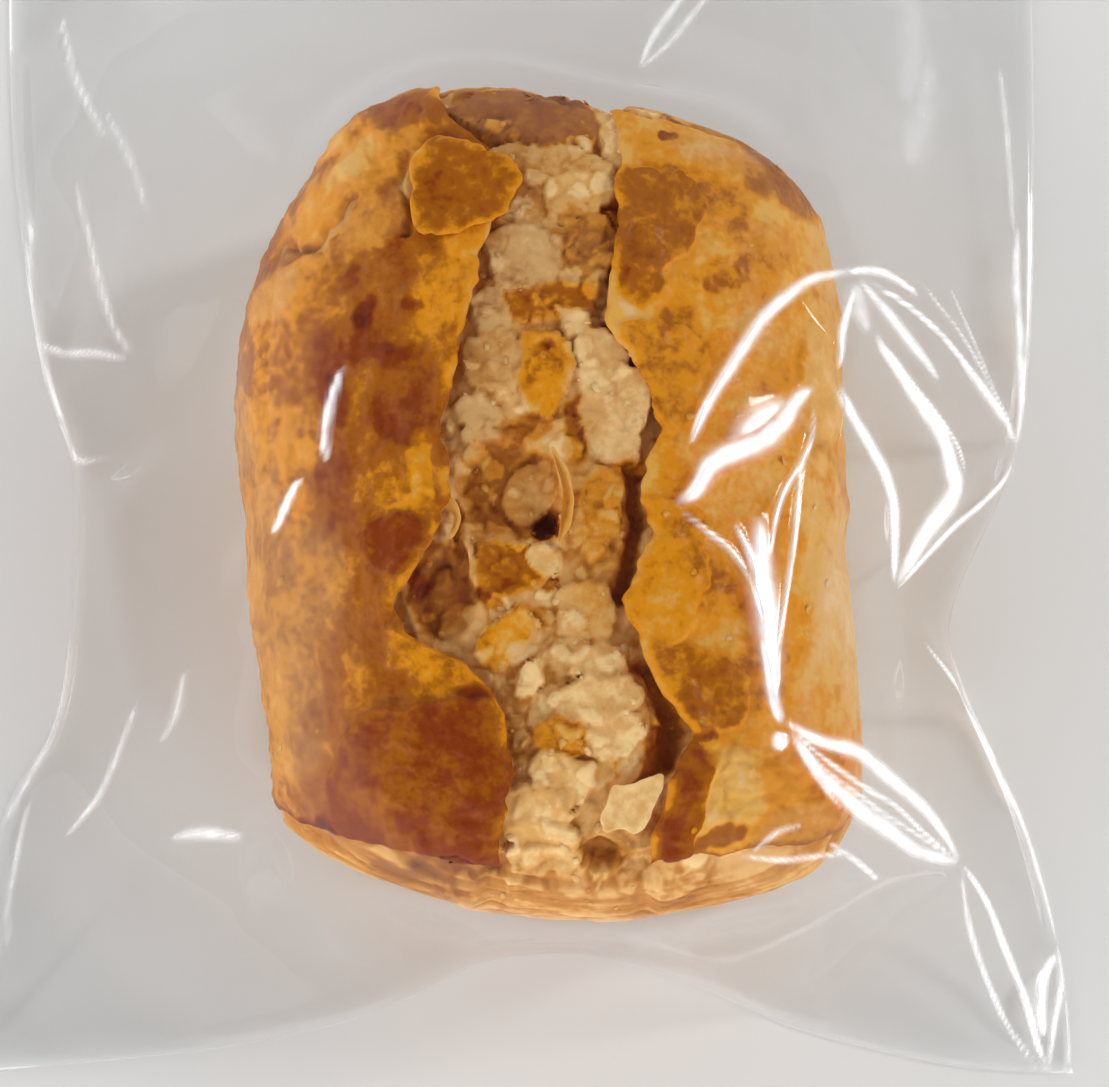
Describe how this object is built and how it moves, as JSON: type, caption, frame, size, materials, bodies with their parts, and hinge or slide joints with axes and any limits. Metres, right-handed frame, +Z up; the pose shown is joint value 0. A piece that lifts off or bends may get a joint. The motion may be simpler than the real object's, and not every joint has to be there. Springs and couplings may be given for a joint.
{
  "type": "bagged sausage roll",
  "caption": "Short wide sausage roll of browned flaky pastry, burst open along its top, lying in a clear sealed film bag.",
  "frame": {"origin": "middle of the bag's outline, on the plane that the bag and the roll rest on", "axes": "+Z up; +Y along the roll and the bag's length, towards the bag's far seal; +X to the right seen from above with +Y away"},
  "size_m": [0.134, 0.154, 0.0458],
  "materials": {
    "pastry": "egg-washed browned puff pastry",
    "clear_film": "clear glossy plastic film"
  },
  "bodies": {
    "root": {"sausage_roll": "pastry", "bag": "clear_film"}
  },
  "joints": []
}
